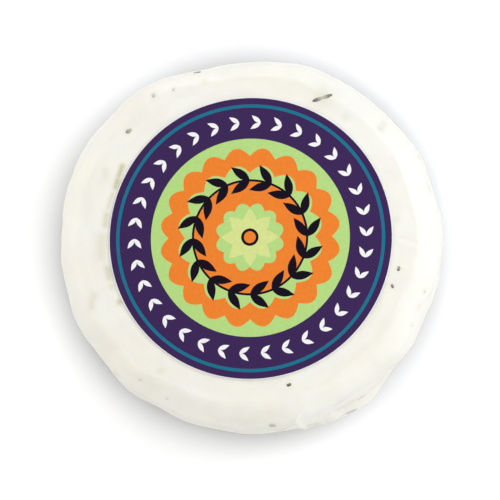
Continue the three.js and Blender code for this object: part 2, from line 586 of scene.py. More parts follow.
class MottleGroup(ShaderGroup):
    """Clouds one colour softly into another and gives the cloud's height, for every finish.

    Scale is clouds to the metre, Detail the finer layers in them, and Spread half the range of the cloud
    that is spread from the light colour to the dark one.
    """

    name = "Soft mottle"
    inlets = {
        "Light": Socket.COLOUR,
        "Dark": Socket.COLOUR,
        "Scale": Socket.NUMBER,
        "Detail": Socket.NUMBER,
        "Spread": Socket.NUMBER,
    }
    outlets = {"Colour": Socket.COLOUR, "Height": Socket.NUMBER}
    middle = 0.5

    @classmethod
    def fill(cls, board: NodeBoard, inlet: bpy.types.Node, outlet: bpy.types.Node) -> None:
        """Adds the cloud and the blend of the two colours.

        Args:
            board: The group's nodes.
            inlet: The node that its inputs come from.
            outlet: The node that its outputs go to.
        """
        place = board.add("ShaderNodeTexCoord")
        cloud = board.add("ShaderNodeTexNoise")
        low = board.add("ShaderNodeMath", operation="SUBTRACT")
        low.inputs[0].default_value = cls.middle
        high = board.add("ShaderNodeMath", operation="ADD")
        high.inputs[0].default_value = cls.middle
        spread = board.add("ShaderNodeMapRange", interpolation_type="SMOOTHSTEP")
        blend = board.add("ShaderNodeMix", data_type="RGBA")
        board.join(place.outputs["Object"], cloud.inputs["Vector"])
        board.join(inlet.outputs["Scale"], cloud.inputs["Scale"])
        board.join(inlet.outputs["Detail"], cloud.inputs["Detail"])
        board.join(inlet.outputs["Spread"], low.inputs[1])
        board.join(inlet.outputs["Spread"], high.inputs[1])
        board.join(cloud.outputs["Fac"], spread.inputs["Value"])
        board.join(low.outputs[0], spread.inputs["From Min"])
        board.join(high.outputs[0], spread.inputs["From Max"])
        board.join(spread.outputs["Result"], blend.inputs["Factor"])
        board.join(inlet.outputs["Light"], blend.inputs["A"])
        board.join(inlet.outputs["Dark"], blend.inputs["B"])
        board.join(blend.outputs["Result"], outlet.inputs["Colour"])
        board.join(cloud.outputs["Fac"], outlet.inputs["Height"])


class StreakGroup(ShaderGroup):
    """Darkens a colour in soft streaks that run round the upright axis.

    Along is streaks to the radian round the axis, Across streaks to the metre outwards and down the wall,
    and Darkest the share of the colour that is left in the darkest streak.
    """

    name = "Round streaks"
    inlets = {
        "Colour": Socket.COLOUR,
        "Along": Socket.NUMBER,
        "Across": Socket.NUMBER,
        "Darkest": Socket.NUMBER,
    }
    outlets = {"Colour": Socket.COLOUR}
    detail = 2.0
    thin = 0.3
    thick = 0.7

    @classmethod
    def fill(cls, board: NodeBoard, inlet: bpy.types.Node, outlet: bpy.types.Node) -> None:
        """Adds a cloud that is drawn out round the axis, and the shade that it gives.

        Args:
            board: The group's nodes.
            inlet: The node that its inputs come from.
            outlet: The node that its outputs go to.
        """
        place = board.add("ShaderNodeTexCoord")
        parts = board.add("ShaderNodeSeparateXYZ")
        level = board.add("ShaderNodeCombineXYZ")
        reach = board.add("ShaderNodeVectorMath", operation="LENGTH")
        way = board.add("ShaderNodeVectorMath", operation="NORMALIZE")
        turn = board.add("ShaderNodeVectorMath", operation="SCALE")
        path = board.add("ShaderNodeMath", operation="ADD")
        row = board.add("ShaderNodeMath", operation="MULTIPLY")
        rise = board.add("ShaderNodeCombineXYZ")
        spot = board.add("ShaderNodeVectorMath", operation="ADD")
        cloud = board.add("ShaderNodeTexNoise")
        cloud.inputs["Scale"].default_value = 1.0
        cloud.inputs["Detail"].default_value = cls.detail
        shade = board.add("ShaderNodeMapRange", interpolation_type="SMOOTHSTEP")
        shade.inputs["From Min"].default_value = cls.thin
        shade.inputs["From Max"].default_value = cls.thick
        shade.inputs["To Min"].default_value = 1.0
        tone = board.add("ShaderNodeVectorMath", operation="SCALE")
        board.join(place.outputs["Object"], parts.inputs[0])
        board.join(parts.outputs["X"], level.inputs["X"])
        board.join(parts.outputs["Y"], level.inputs["Y"])
        board.join(level.outputs[0], reach.inputs[0])
        board.join(level.outputs[0], way.inputs[0])
        board.join(way.outputs["Vector"], turn.inputs[0])
        board.join(inlet.outputs["Along"], turn.inputs["Scale"])
        board.join(reach.outputs["Value"], path.inputs[0])
        board.join(parts.outputs["Z"], path.inputs[1])
        board.join(path.outputs[0], row.inputs[0])
        board.join(inlet.outputs["Across"], row.inputs[1])
        board.join(row.outputs[0], rise.inputs["Z"])
        board.join(turn.outputs["Vector"], spot.inputs[0])
        board.join(rise.outputs[0], spot.inputs[1])
        board.join(spot.outputs["Vector"], cloud.inputs["Vector"])
        board.join(cloud.outputs["Fac"], shade.inputs["Value"])
        board.join(inlet.outputs["Darkest"], shade.inputs["To Max"])
        board.join(inlet.outputs["Colour"], tone.inputs[0])
        board.join(shade.outputs["Result"], tone.inputs["Scale"])
        board.join(tone.outputs["Vector"], outlet.inputs["Colour"])


class SoftLineGroup(ShaderGroup):
    """Adds a soft straight line on a piece to a mask.

    Start is the line's first point, Run its way to the last, and Reach how far it fades to both sides,
    all in metres. Strength is the mask's value on the line.
    """

    name = "Soft line"
    inlets = {
        "Mask": Socket.NUMBER,
        "Start": Socket.VECTOR,
        "Run": Socket.VECTOR,
        "Reach": Socket.NUMBER,
        "Strength": Socket.NUMBER,
    }
    outlets = {"Mask": Socket.NUMBER}

    @classmethod
    def fill(cls, board: NodeBoard, inlet: bpy.types.Node, outlet: bpy.types.Node) -> None:
        """Adds the distance to the line and the mask that it gives.

        Args:
            board: The group's nodes.
            inlet: The node that its inputs come from.
            outlet: The node that its outputs go to.
        """
        place = board.add("ShaderNodeTexCoord")
        offset = board.add("ShaderNodeVectorMath", operation="SUBTRACT")
        onto = board.add("ShaderNodeVectorMath", operation="DOT_PRODUCT")
        size = board.add("ShaderNodeVectorMath", operation="DOT_PRODUCT")
        along = board.add("ShaderNodeMath", operation="DIVIDE", use_clamp=True)
        near = board.add("ShaderNodeVectorMath", operation="SCALE")
        away = board.add("ShaderNodeVectorMath", operation="DISTANCE")
        line = board.add("ShaderNodeMapRange", interpolation_type="SMOOTHSTEP")
        line.inputs["To Max"].default_value = 0.0
        mask = board.add("ShaderNodeMath", operation="MAXIMUM")
        board.join(place.outputs["Object"], offset.inputs[0])
        board.join(inlet.outputs["Start"], offset.inputs[1])
        board.join(offset.outputs["Vector"], onto.inputs[0])
        board.join(inlet.outputs["Run"], onto.inputs[1])
        board.join(inlet.outputs["Run"], size.inputs[0])
        board.join(inlet.outputs["Run"], size.inputs[1])
        board.join(onto.outputs["Value"], along.inputs[0])
        board.join(size.outputs["Value"], along.inputs[1])
        board.join(inlet.outputs["Run"], near.inputs[0])
        board.join(along.outputs[0], near.inputs["Scale"])
        board.join(offset.outputs["Vector"], away.inputs[0])
        board.join(near.outputs["Vector"], away.inputs[1])
        board.join(away.outputs["Value"], line.inputs["Value"])
        board.join(inlet.outputs["Reach"], line.inputs["From Max"])
        board.join(inlet.outputs["Strength"], line.inputs["To Min"])
        board.join(inlet.outputs["Mask"], mask.inputs[0])
        board.join(line.outputs["Result"], mask.inputs[1])
        board.join(mask.outputs[0], outlet.inputs["Mask"])


def new_material(name: str) -> tuple[bpy.types.Material, NodeBoard]:
    """Makes an empty node material.

    Args:
        name: Name of the material.

    Returns:
        The material and its nodes.
    """
    material = bpy.data.materials.new(name)
    material.use_nodes = True
    material.node_tree.nodes.clear()
    return material, NodeBoard(material.node_tree)


@dataclass(frozen=True)
class CheeseFinish:
    """Fresh white cheese: creamy, softly mottled, slightly see-through, with faint smudges of herb and other
    olive marks, and painted shade on the creases and the lip of the folded film.
    """

    white: Colour = (0.905, 0.888, 0.830)
    cream: Colour = (0.885, 0.864, 0.785)
    smudge: Colour = (0.31, 0.32, 0.0)
    # Dark grey of the painted shade on the creases and the lip of the film
    painted_fold_shade: Colour = (0.26, 0.26, 0.29)
    cloud_scale: float = 70.0
    cloud_detail: float = 3.0
    cloud_spread: float = 0.22
    streaks_along: float = 5.5
    streaks_across: float = 520.0
    streak_darkest: float = 0.965
    curd_scale: float = 900.0
    curd_bump: float = 0.12
    curd_depth: float = 0.00012
    roughness: float = 0.6
    scatter: float = 0.35
    scatter_reach: Colour = (1.0, 0.8, 0.55)
    scatter_scale: float = 0.0006

    def material(self, painted_fold_shades: tuple[StainAndShade, ...]) -> bpy.types.Material:
        """Makes the material.

        Args:
            painted_fold_shades: Lines of painted shade on the creases and the lip of the folded film.

        Returns:
            The material of the cheese.
        """
        material, board = new_material("fresh_cheese")
        shader = board.solid(self.roughness)
        shader.inputs["Subsurface Weight"].default_value = self.scatter
        shader.inputs["Subsurface Radius"].default_value = self.scatter_reach
        shader.inputs["Subsurface Scale"].default_value = self.scatter_scale
        mottle = {
            "Light": self.white,
            "Dark": self.cream,
            "Scale": self.cloud_scale,
            "Detail": self.cloud_detail,
            "Spread": self.cloud_spread,
        }
        clouds = MottleGroup.place(board, mottle)
        streak = {
            "Along": self.streaks_along,
            "Across": self.streaks_across,
            "Darkest": self.streak_darkest,
        }
        streaks = StreakGroup.place(board, streak)
        board.join(clouds.outputs["Colour"], streaks.inputs["Colour"])
        stain = board.add("ShaderNodeAttribute", attribute_name="herb_stain")
        tinted = board.cover(streaks.outputs["Colour"], self.smudge, stain.outputs["Fac"])
        # Painted shade: a dark grey laid over the cheese's colour along the creases, the slit and the lip of
        # the folded film
        shaded = board.cover(tinted, self.painted_fold_shade, self.painted_fold_shade_mask(board, painted_fold_shades))
        board.join(shaded, shader.inputs["Base Color"])
        curd = MottleGroup.place(board, {"Scale": self.curd_scale, "Detail": self.cloud_detail})
        normal = board.bump(curd.outputs["Height"], self.curd_bump, self.curd_depth)
        board.join(normal, shader.inputs["Normal"])
        return material

    @staticmethod
    def painted_fold_shade_mask(board: NodeBoard, painted_fold_shades: tuple[StainAndShade, ...]) -> bpy.types.NodeSocket:
        """Gathers the lines of painted shade in one mask.

        Args:
            board: The material's nodes.
            painted_fold_shades: The lines, each from its first point to its last.

        Returns:
            Output of the mask.
        """
        nothing = board.add("ShaderNodeValue")
        nothing.outputs[0].default_value = 0.0
        mask = nothing.outputs[0]
        for painted_fold_shade in painted_fold_shades:
            start = Vector(painted_fold_shade.line[0]) * MM
            end = Vector(painted_fold_shade.line[-1]) * MM
            shade = {
                "Start": start,
                "Run": end - start,
                "Reach": painted_fold_shade.reach * MM,
                "Strength": painted_fold_shade.strength,
            }
            line = SoftLineGroup.place(board, shade)
            board.join(mask, line.inputs["Mask"])
            mask = line.outputs["Mask"]
        return mask


@dataclass(frozen=True)
class HerbFinish:
    """Dried herb: mottled from olive green to brown, and veiled in places by a skin of cheese."""

    name: str
    green: Colour
    brown: Colour
    skin: Colour = (0.88, 0.86, 0.79)
    scale: float = 700.0
    detail: float = 2.0
    spread: float = 0.18
    roughness: float = 0.65
    vein_bump: float = 0.3
    vein_depth: float = 0.00005

    def material(self) -> bpy.types.Material:
        """Makes the material.

        Returns:
            The material of one kind of herb.
        """
        material, board = new_material(self.name)
        shader = board.solid(self.roughness)
        mottle = {
            "Light": self.green,
            "Dark": self.brown,
            "Scale": self.scale,
            "Detail": self.detail,
            "Spread": self.spread,
        }
        clouds = MottleGroup.place(board, mottle)
        veil = board.add("ShaderNodeAttribute", attribute_name="veil")
        covered = board.cover(clouds.outputs["Colour"], self.skin, veil.outputs["Fac"])
        board.join(covered, shader.inputs["Base Color"])
        normal = board.bump(clouds.outputs["Height"], self.vein_bump, self.vein_depth)
        board.join(normal, shader.inputs["Normal"])
        return material


@dataclass(frozen=True)
class FilmFinish:
    """Thin clear film: see-through face on, glossy at a slant, with a faintly uneven shine."""

    refraction: float = 1.4
    most_shine: float = 0.1
    roughness: float = 0.38
    wave_scale: float = 160.0
    wave_detail: float = 2.0
    wave_bump: float = 0.25
    wave_depth: float = 0.0002

    def material(self) -> bpy.types.Material:
        """Makes the material.

        Returns:
            The material of the film.
        """
        material, board = new_material("clear_film")
        out = board.add("ShaderNodeOutputMaterial")
        clear = board.add("ShaderNodeBsdfTransparent")
        gloss = board.add("ShaderNodeBsdfGlossy")
        gloss.inputs["Roughness"].default_value = self.roughness
        slant = board.add("ShaderNodeFresnel")
        slant.inputs["IOR"].default_value = self.refraction
        held = board.add("ShaderNodeMath", operation="MINIMUM")
        held.inputs[1].default_value = self.most_shine
        path = board.add("ShaderNodeLightPath")
        share = board.add("ShaderNodeMath", operation="MULTIPLY")
        blend = board.add("ShaderNodeMixShader")
        waves = MottleGroup.place(board, {"Scale": self.wave_scale, "Detail": self.wave_detail})
        normal = board.bump(waves.outputs["Height"], self.wave_bump, self.wave_depth)
        board.join(normal, gloss.inputs["Normal"])
        board.join(normal, slant.inputs["Normal"])
        board.join(slant.outputs["Fac"], held.inputs[0])
        board.join(held.outputs[0], share.inputs[0])
        board.join(path.outputs["Is Camera Ray"], share.inputs[1])
        board.join(share.outputs[0], blend.inputs["Fac"])
        board.join(clear.outputs["BSDF"], blend.inputs[1])
        board.join(gloss.outputs["BSDF"], blend.inputs[2])
        board.join(blend.outputs["Shader"], out.inputs["Surface"])
        return material


class Ink(Enum):
    """Colours of the label, each with the part of the spectrum that it sends back."""

    PURPLE = (0.043, 0.018, 0.091)
    TEAL = (0.009, 0.161, 0.260)
    ORANGE = (0.839, 0.220, 0.027)
    GREEN = (0.451, 0.680, 0.223)
    DARK = (0.005, 0.002, 0.010)
    CREAM = (0.658, 0.738, 0.275)
    WHITE = (0.880, 0.870, 0.890)


@dataclass(frozen=True)
class PaperFinish:
    """Satin printed paper in one ink."""

    ink: Ink
    roughness: float = 0.5
    shine: float = 0.1
    grain_scale: float = 1500.0
    grain_detail: float = 2.0
    grain_spread: float = 0.25
    grain_bump: float = 0.06
    grain_depth: float = 0.00004
    fade: float = 0.94

    def material(self) -> bpy.types.Material:
        """Makes the material.

        Returns:
            The material of the paper where it carries this ink.
        """
        material, board = new_material("label_" + self.ink.name.lower())
        shader = board.solid(self.roughness)
        shader.inputs["Specular IOR Level"].default_value = self.shine
        mottle = {
            "Light": self.ink.value,
            "Dark": tuple(channel * self.fade for channel in self.ink.value),
            "Scale": self.grain_scale,
            "Detail": self.grain_detail,
            "Spread": self.grain_spread,
        }
        grain = MottleGroup.place(board, mottle)
        board.join(grain.outputs["Colour"], shader.inputs["Base Color"])
        normal = board.bump(grain.outputs["Height"], self.grain_bump, self.grain_depth)
        board.join(normal, shader.inputs["Normal"])
        return material


def mesh_object(name: str, points: np.ndarray, faces: list[tuple[int, ...]]) -> bpy.types.Object:
    """Makes a smooth-shaded object from points in millimetres.

    Args:
        name: Name of the piece.
        points: Rows of x, y and z.
        faces: Corners of each face.

    Returns:
        The object, linked into the scene.
    """
    mesh = bpy.data.meshes.new(name)
    mesh.from_pydata((points * MM).tolist(), [], faces)
    mesh.polygons.foreach_set("use_smooth", [True] * len(mesh.polygons))
    mesh.update()
    piece = bpy.data.objects.new(name, mesh)
    bpy.context.scene.collection.objects.link(piece)
    return piece


def surface_tree(piece: bpy.types.Object) -> BVHTree:
    """A search tree of a piece's surface, in millimetres.

    Args:
        piece: The piece.

    Returns:
        The tree.
    """
    corners = [vertex.co / MM for vertex in piece.data.vertices]
    faces = [tuple(polygon.vertices) for polygon in piece.data.polygons]
    return BVHTree.FromPolygons(corners, faces)


def place_piece(piece: bpy.types.Object, node: str) -> None:
    """Sets a piece on the part in place of a solid.

    Args:
        piece: The piece.
        node: The solid that the piece stands for.
    """
    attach(piece, "root")
    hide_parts(node)


@dataclass
class RoundGrid:
    """Rings of points on the surface of the round, with the outward direction at each."""

    form: CheeseForm
    segments: int = 600
    fineness: int = 3
    degrees: np.ndarray = field(init=False)
    level: np.ndarray = field(init=False)
    points: np.ndarray = field(init=False)
    normals: np.ndarray = field(init=False)

    def __post_init__(self) -> None:
        """Lays the even section round the outline and moves it to the uneven round."""
        section = self.form.section(self.fineness)
        angle = np.linspace(0, 2 * math.pi, self.segments, endpoint=False)
        reach = section[:, :1] * self.form.outline_share(angle)[None, :]
        upper = section[:, 1:] > self.form.height / 2
        reach = reach + np.where(upper, self.form.edge_shift(angle, section[:, :1]), 0.0)
        x = reach * np.cos(angle)
        y = reach * np.sin(angle)
        even = np.repeat(section[:, 1:], self.segments, axis=1)
        z = even + (even / self.form.height) ** 2 * self.form.unevenness(x, y)
        self.degrees = np.repeat(np.degrees(angle)[None, :], len(section), axis=0)
        self.level = even
        self.points = np.stack([x + self.form.shift[0], y + self.form.shift[1], z], axis=2)
        self.normals = self.outward(self.points)

    @staticmethod
    def outward(points: np.ndarray) -> np.ndarray:
        """Outward direction at each point of a grid of rings.

        Args:
            points: Rings of points.

        Returns:
            Unit directions, one for each point.
        """
        round_run = np.roll(points, -1, axis=1) - np.roll(points, 1, axis=1)
        up_run = np.gradient(points, axis=0)
        normal = np.cross(round_run, up_run)
        return normal / np.linalg.norm(normal, axis=2, keepdims=True)

    def surface(self, rise: np.ndarray) -> np.ndarray:
        """The grid's points moved outwards.

        Args:
            rise: How far each point moves out.

        Returns:
            The moved points.
        """
        return self.points + self.normals * rise[:, :, None]

    def piece(self, name: str, points: np.ndarray) -> bpy.types.Object:
        """Closes a grid of rings with a middle point below and above and makes it a piece.

        Args:
            name: Name of the piece.
            points: Rings of points.

        Returns:
            The piece.
        """
        rings, segments, _ = points.shape
        low = points[0].mean(axis=0)
        high = points[-1].mean(axis=0)
        corners = np.concatenate([points.reshape(-1, 3), [low, high]])
        low_index = rings * segments
        high_index = low_index + 1
        last = (rings - 1) * segments
        faces = []
        for j in range(segments):
            k = (j + 1) % segments
            faces.append((low_index, k, j))
            faces.append((high_index, last + j, last + k))
        for i in range(rings - 1):
            here = i * segments
            above = here + segments
            for j in range(segments):
                k = (j + 1) % segments
                faces.append((here + j, here + k, above + k, above + j))
        return mesh_object(name, corners, faces)


@dataclass
class WrappedRound:
    """The cheese and the film that clings to it."""

    form: CheeseForm
    grid: RoundGrid
    cheese_inset: float = 0.14
    film_inset: float = 0.02
    # Start, end, depth and width
    creases: tuple[Crease, ...] = (
        Crease((29.6, 0.2), (34.1, -1.2), 0.14, 0.4),
        Crease((-26.2, 19.7), (-17.2, 27.2), 0.10, 0.9),
    )
    # Angle in degrees, lowest and highest point, rise, width, and slant in degrees to the millimetre
    shoulder_pleats: tuple[Pleat, ...] = (
        Pleat(-77.3, 14.5, 22.5, 0.42, 0.45, 1.3),
        Pleat(-74.2, 5.0, 21.5, 0.60, 0.60, -0.1),
        Pleat(-104.0, 14.5, 22.0, 0.15, 0.7, 0.2),
        Pleat(-31.0, 5.0, 16.0, 0.10, 0.6, -0.4),
        Pleat(-66.0, 4.0, 15.0, 0.12, 0.6, 0.5),
    )
    base_clear: Point = (0.3, 2.5)
    top_slack: float = 0.2
    label_press: Point = (-0.6, 1.6)
    crease_levels: Point = (16.0, 19.0)
    tuck_band: Point = (-3.0, 1.0)
    wall_swell: float = 0.12
    base_pleats: int = 44
    base_pleat_low: float = 0.4
    base_pleat_lengths: Point = (4.0, 11.0)
    base_pleat_rises: Point = (0.064, 0.16)
    base_pleat_widths: Point = (0.35, 0.65)
    base_pleat_slant: float = 1.2
    base_pleat_turn: float = 0.3
    soft_marks: tuple[StainAndShade, ...] = ()
    # Lines of painted shade on the creases and the lip of the film
    painted_fold_shades: tuple[StainAndShade, ...] = ()

    def relief(self) -> np.ndarray:
        """Rise of the cheese and film together: wall, lip, creases, shoulder pleats, soft dents and dimples.

        Returns:
            The rise at each point of the grid.
        """
        x = self.grid.points[:, :, 0]
        y = self.grid.points[:, :, 1]
        clear_of_base = smooth_step(*self.base_clear, self.grid.level)
        from_label = np.hypot(x - self.form.label_centre[0], y - self.form.label_centre[1])
        on_top = self.grid.level > self.form.height - self.form.crown - self.top_slack
        beyond = from_label - self.form.label_radius
        pressed = np.where(on_top, smooth_step(*self.label_press, beyond), 1.0)
        rise = self.dents() * clear_of_base * pressed
        rise += self.wall_swell * self.wall_share() * clear_of_base
        rise += self.form.lip(self.grid.degrees, self.grid.level)
        above_wall = smooth_step(*self.crease_levels, self.grid.level)
        for crease in self.creases:
            rise += crease.relief(x, y) * above_wall * pressed
        for pleat in self.shoulder_pleats:
            rise += pleat.relief(self.grid.degrees, self.grid.level, self.form.mean_radius)
        return rise

    def wall_share(self) -> np.ndarray:
        """How far out on the shoulder and wall each point of the grid lies, from 0 to 1."""
        away = np.hypot(self.grid.points[:, :, 0], self.grid.points[:, :, 1])
        return smooth_step(*self.tuck_band, away - self.form.plateau_radius)

    def dents(self) -> np.ndarray:
        """Soft dents, smaller dimples, and tucks that the film presses into the shoulder and wall.

        Returns:
            The rise at each point of the grid.
        """
        form = self.form
        flat = self.grid.points.reshape(-1, 3)
        turn = np.radians(self.grid.degrees).ravel()
        span = form.mean_radius / form.tuck_reach
        path = (flat[:, 2] - np.hypot(flat[:, 0], flat[:, 1])) / form.tuck_length
        tucks = np.stack([span * np.cos(turn), span * np.sin(turn), path], axis=1)
        dent = cloud_at(flat / form.dent_reach)
        dimple = cloud_at(flat / form.dimple_reach)
        tuck = self.wall_share().ravel() * cloud_at(tucks)
        rise = form.dent_depth * dent + form.dimple_depth * dimple + form.tuck_depth * tuck
        return rise.reshape(self.grid.level.shape)

    def pleats(self) -> np.ndarray:
        """Rise of the film's own fine pleats, by a rule round the base.

        Returns:
            The rise at each point of the grid.
        """
        rise = np.zeros_like(self.grid.level)
        for i in range(self.base_pleats):
            share = (i * SILVER_RATIO) % 1.0
            other = (i * GOLDEN_RATIO * GOLDEN_RATIO + self.base_pleat_turn) % 1.0
            pleat = Pleat(
                degrees=360.0 * ((i * GOLDEN_RATIO) % 1.0),
                low=self.base_pleat_low,
                high=self.base_pleat_low + between(self.base_pleat_lengths, share),
                rise=between(self.base_pleat_rises, other),
                width=between(self.base_pleat_widths, share),
                slant=self.base_pleat_slant * (other - 0.5),
            )
            rise += pleat.relief(self.grid.degrees, self.grid.level, self.form.mean_radius)
        return rise

    @staticmethod
    def mark(piece: bpy.types.Object, name: str, soft_marks: tuple[StainAndShade, ...]) -> None:
        """Writes how strongly soft marks show at each point of a piece.

        Args:
            piece: The piece.
            name: Name of the attribute that takes the shares.
            soft_marks: The soft marks.
        """
        flat = np.empty(len(piece.data.vertices) * 3)
        piece.data.vertices.foreach_get("co", flat)
        points = flat.reshape(-1, 3) / MM
        total = np.zeros(len(points))
        for stain in soft_marks:
            total = np.maximum(total, stain.share(points))
        layer = piece.data.attributes.new(name, "FLOAT", "POINT")
        layer.data.foreach_set("value", total)

    def build(self, relief: np.ndarray) -> tuple[bpy.types.Object, bpy.types.Object]:
        """Makes the cheese and the film.

        Args:
            relief: Rise that the two share.

        Returns:
            The cheese and the film.
        """
        inner = self.grid.surface(relief - self.cheese_inset)
        outer = self.grid.surface(relief + self.pleats() - self.film_inset)
        cheese = self.grid.piece("cheese", inner)
        film = self.grid.piece("film", outer)
        return cheese, film

    def dress(self, cheese: bpy.types.Object, film: bpy.types.Object) -> None:
        """Gives the cheese its smudges, its painted shade on the creases and the lip, and both their
        finishes, and sets them on the part.

        Args:
            cheese: The cheese.
            film: The film.
        """
        self.mark(cheese, "herb_stain", self.soft_marks)
        cheese.data.materials.append(CheeseFinish().material(self.painted_fold_shades))
        film.data.materials.append(FilmFinish().material())
        place_piece(cheese, "wrapped_cheese")
        place_piece(film, "wrapped_cheese")


class FlakeKind(Enum):
    """Kinds of herb in the cheese."""

    LEAF = "herb_leaves"
    CHIP = "herb_chips"


@dataclass(frozen=True)
class Flake:
    """One flake of herb: a line towards its place on the cheese, its size, its turn and its veil."""

    kind: FlakeKind
    start: Place
    way: Place
    length: float
    turn: float
    veil: float
    number: int


@dataclass
class HerbScatter:
    """Flakes of dried herb that lie in the surface of the cheese, under the film."""

    form: CheeseForm
    leaf_finish: HerbFinish = HerbFinish("herb_leaf", (0.16, 0.17, 0.075), (0.07, 0.065, 0.035))
    chip_finish: HerbFinish = HerbFinish("herb_chip", (0.13, 0.135, 0.065), (0.08, 0.07, 0.04))
    # Kind, place across and along, length, turn in degrees, and how far a skin of cheese veils it
    top_flakes: tuple[tuple[FlakeKind, float, float, float, float, float], ...] = (
        (FlakeKind.LEAF, 15.15, 28.25, 4.8, 18.0, 0.0),
        (FlakeKind.CHIP, -23.45, 22.15, 1.45, 29.0, 0.35),
        (FlakeKind.CHIP, -18.56, 29.38, 1.35, 110.0, 0.62),
        (FlakeKind.CHIP, -14.5, 30.5, 0.9, 75.0, 0.78),
        (FlakeKind.CHIP, -10.1, 34.4, 1.7, 10.0, 0.20),
        (FlakeKind.CHIP, 30.0, -5.95, 1.1, 75.0, 0.22),
        (FlakeKind.CHIP, 28.7, -9.4, 1.0, 110.0, 0.15),
        (FlakeKind.CHIP, 34.9, -10.0, 1.3, 60.0, 0.83),
        (FlakeKind.CHIP, 8.4, -28.6, 1.1, 20.0, 0.0),
        (FlakeKind.CHIP, 4.7, -36.2, 2.6, 90.0, 0.50),
        (FlakeKind.CHIP, -21.1, -27.2, 0.9, 150.0, 0.85),
        (FlakeKind.CHIP, -15.8, -30.9, 0.9, 95.0, 0.85),
        (FlakeKind.CHIP, 26.2, 22.2, 0.9, 35.0, 0.88),
    )
    wall_flakes: int = 30
    wall_levels: Point = (3.6, 21.0)
    wall_lengths: Point = (1.2, 2.4)
    wall_veils: Point = (0.6, 0.95)
    high_veil: float = 0.95
    leaf_every: int = 3
    turn_step: float = 77.0
    leaf_width: float = 0.29
    chip_width: float = 0.62
    leaf_veil: float = 0.5
    chip_veil: float = 0.2
    rows: int = 8
    columns: int = 4
    sunk: float = 0.06
    proud: float = 0.07
    rim_sunk: float = 0.4
    under_sunk: float = 2.0
    waist: float = 0.45
    waist_sunk: float = 0.75
    tip_share: float = 0.999
    tip_blunt: int = 4
    leaf_point: float = 0.7
    chip_ragged: float = 0.25
    chip_waves: Point = (7.0, 2.3)
    bend: float = 0.06
    bend_turn: float = 1.7
    steep: float = 0.8
    cast: float = 3.0

    def flakes(self) -> list[Flake]:
        """Every flake: those placed on the top, and those spread round the wall by the golden ratio.

        Returns:
            The flakes in order.
        """
        made = []
        for number, (kind, x, y, length, turn, veil) in enumerate(self.top_flakes):
            made.append(Flake(kind, (x, y, RAY_HEIGHT), DOWN, length, turn, veil, number))
        for i in range(self.wall_flakes):
            angle = ((i * GOLDEN_RATIO) % 1.0) * 2 * math.pi
            level = (i + 0.5) / self.wall_flakes
            height = between(self.wall_levels, level)
            share = (i * SILVER_RATIO) % 1.0
            length = between(self.wall_lengths, share)
            veil = max(between(self.wall_veils, share), self.high_veil * level)
            kind = FlakeKind.LEAF if i % self.leaf_every == 0 else FlakeKind.CHIP
            out_x = math.cos(angle)
            out_y = math.sin(angle)
            start_x = RAY_REACH * out_x + self.form.shift[0]
            start_y = RAY_REACH * out_y + self.form.shift[1]
            start = (start_x, start_y, height)
            way = (-out_x, -out_y, 0.0)
            number = len(self.top_flakes) + i
            made.append(Flake(kind, start, way, length, i * self.turn_step, veil, number))
        return made

    def half_width(self, flake: Flake, along: float) -> float:
        """Half the width of a flake at a share of its length from -1 to 1.

        Args:
            flake: The flake.
            along: Share of its half length, from -1 at one end to 1 at the other.

        Returns:
            Half the width there.
        """
        if flake.kind is FlakeKind.LEAF:
            return 0.5 * self.leaf_width * flake.length * (1.0 - along * along) ** self.leaf_point
        wave = self.chip_waves[0] * along + self.chip_waves[1] * flake.number
        ragged = 1.0 + self.chip_ragged * math.sin(wave)
        return 0.5 * self.chip_width * flake.length * ragged * (1.0 - along**self.tip_blunt) ** 0.5

    def flake_points(self, flake: Flake, tree: BVHTree) -> tuple[list[Vector], list[Vector]]:
        """Upper and lower points of a flake, laid on the cheese.

        Args:
            flake: The flake.
            tree: The surface of the cheese, in millimetres.

        Returns:
            The upper points and the lower points, row by row.
        """
        place, normal, _, _ = tree.ray_cast(Vector(flake.start), Vector(flake.way))
        side = Vector((0.0, 0.0, 1.0)) if abs(normal.z) < self.steep else Vector((0.0, 1.0, 0.0))
        across = side.cross(normal).normalized()
        spin = Matrix.Rotation(math.radians(flake.turn), 3, normal)
        run = spin @ across
        aside = normal.cross(run)
        upper = []
        lower = []
        for row in range(self.rows + 1):
            along = self.tip_share * (2.0 * row / self.rows - 1.0)
            half = self.half_width(flake, along)
            bend = self.bend * flake.length * math.sin(self.bend_turn * flake.number) * along * along
            for column in range(self.columns + 1):
                off = -1.0 + 2.0 * column / self.columns
                spot = place + run * (0.5 * flake.length * along) + aside * (half * off + bend)
                hit, _, _, _ = tree.ray_cast(spot + normal * self.cast, -normal)
                hit = hit if hit is not None else spot
                crown = (1.0 - off * off) * (1.0 - along**self.tip_blunt)
                lift = between((-self.rim_sunk * self.sunk, self.proud), crown)
                if flake.kind is FlakeKind.LEAF:
                    lift -= self.waist_sunk * self.proud * self.waist_share(along)
                upper.append(hit + normal * lift)
                lower.append(hit - normal * self.under_sunk * self.sunk)
        return upper, lower

    def waist_share(self, along: float) -> float:
        """How near a place along a leaf is to its sunken waist, from 0 to 1."""
        return math.exp(-((along / self.waist) ** 2))

    def veils(self, flake: Flake) -> list[float]:
        """How far a skin of cheese veils each upper point: a leaf most in its middle, a chip at one end.

        Args:
            flake: The flake.

        Returns:
            Shares from 0 to 1, row by row.
        """
        shares = []
        for row in range(self.rows + 1):
            along = -1.0 + 2.0 * row / self.rows
            if flake.kind is FlakeKind.LEAF:
                share = flake.veil + self.leaf_veil * self.waist_share(along)
            else:
                share = flake.veil + self.chip_veil * along
            shares += [min(1.0, max(0.0, share))] * (self.columns + 1)
        return shares

